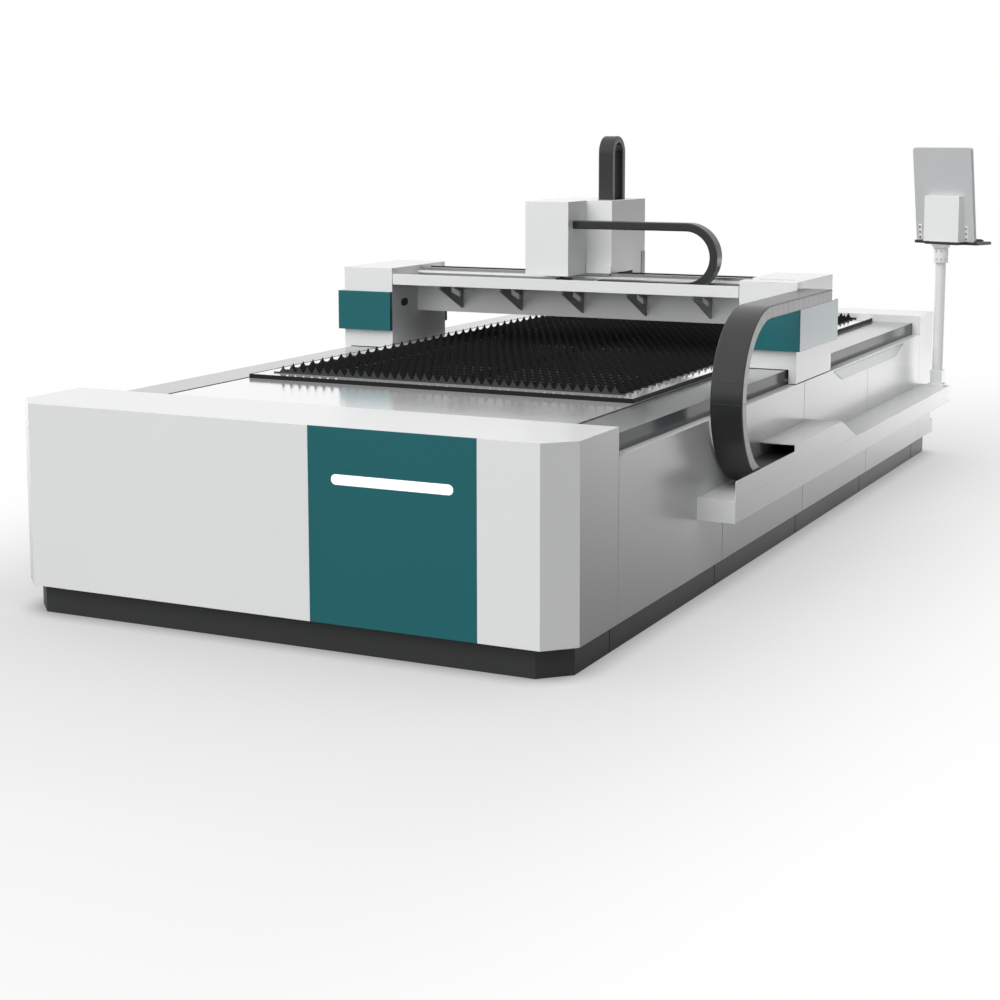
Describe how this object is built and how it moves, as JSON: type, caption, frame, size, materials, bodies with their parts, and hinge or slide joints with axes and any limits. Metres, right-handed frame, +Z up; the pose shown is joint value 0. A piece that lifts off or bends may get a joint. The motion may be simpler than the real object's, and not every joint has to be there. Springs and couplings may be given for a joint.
{
  "type": "laser cutting machine",
  "caption": "Open flat-bed laser cutter: slatted bed in a long cabinet, gantry sliding along it, head sliding across and lifting, looped cable chains and a turning console on a pole.",
  "frame": {"origin": "on the floor, at the middle of the four anchor holes in the corner feet, which is the middle of the bed", "axes": "+X to the right seen from the plain front end, +Y from the front end to the operator's end, +Z up"},
  "size_m": [2.5549, 4.918, 1.708],
  "materials": {
    "white_paint": "satin",
    "accent_paint": "satin",
    "dark_paint": "satin",
    "gray_paint": "gloss",
    "black_steel": "satin",
    "chain_plastic": "matte",
    "machine_steel": "brushed",
    "cast_metal": "matte",
    "light_metal": "satin",
    "diffuser": "gloss",
    "screen": "gloss",
    "tinted": "gloss",
    "motor_black": "satin",
    "keys": "matte",
    "stop_red": "gloss",
    "case_plastic": "satin",
    "nozzle_copper": "satin"
  },
  "bodies": {
    "bed": {"plinth": "dark_paint", "front_housing": "white_paint", "front_accent_panel": "accent_paint", "front_light_bar": "diffuser", "rear_housing": "white_paint", "side_panels": "white_paint", "side_strips": "tinted", "frame_beams": "cast_metal", "cross_beams": "cast_metal", "deck_plates": "white_paint", "scrap_tray": "cast_metal", "rail_covers": "gray_paint", "y_rails": "machine_steel", "y_racks": "machine_steel", "leveling_feet": "cast_metal", "slat_frame": "black_steel", "slat_rim": "white_paint", "slats": "black_steel", "cable_tray": "white_paint", "tray_cover": "white_paint", "y_chain": "chain_plastic", "y_chain_fixed_bracket": "machine_steel", "rear_cable_box": "white_paint", "console_pole": "white_paint"},
    "gantry": {"gantry_beam": "white_paint", "chain_trough": "white_paint", "gussets": "dark_paint", "x_rail_front": "machine_steel", "x_rail_rear": "black_steel", "x_rack": "machine_steel", "tower_frames": "cast_metal", "y_guide_blocks": "machine_steel", "y_motors": "motor_black", "tower_cover_right": "white_paint", "tower_cover_left": "white_paint", "tower_bands": "accent_paint", "chain_brackets": "light_metal", "x_chain": "chain_plastic"},
    "carriage": {"carriage_plate": "light_metal", "x_guide_blocks": "machine_steel", "x_motor": "motor_black", "drive_cover": "white_paint", "head_cover": "white_paint", "head_window": "tinted", "z_back_plate": "light_metal", "z_rails": "machine_steel", "z_drive": "motor_black", "z_chain": "chain_plastic"},
    "head": {"z_plate": "light_metal", "z_guide_blocks": "machine_steel", "laser_head": "light_metal", "nozzle": "nozzle_copper"},
    "console": {"console_collar": "white_paint", "keyboard_shelf": "dark_paint", "monitor_housing": "case_plastic", "monitor_screen": "screen", "monitor_back_box": "white_paint", "keyboard": "keys"},
    "stop_button": {"stop_button": "stop_red"}
  },
  "joints": [
    {"name": "gantry_travel", "type": "slide", "parent": "bed", "child": "gantry", "axis": [0, 1, 0], "range_m": [-1.6, 1.42], "deforming": ["y_chain"]},
    {"name": "carriage_travel", "type": "slide", "parent": "gantry", "child": "carriage", "axis": [1, 0, 0], "range_m": [-0.62, 0.67], "deforming": ["x_chain"]},
    {"name": "head_lift", "type": "slide", "parent": "carriage", "child": "head", "axis": [0, 0, 1], "range_m": [-0.075, 0.045], "deforming": ["z_chain"]},
    {"name": "console_swivel", "type": "hinge", "parent": "bed", "child": "console", "pos_m": [1.19, 2.172, 1.12], "axis": [0, 0, 1], "range_deg": [-60, 60]},
    {"name": "stop_button_press", "type": "slide", "parent": "console", "child": "stop_button", "axis": [-0.372, -0.9207, -0.1184], "range_m": [0, 0.006], "stiffness_N_per_m": 1500}
  ]
}
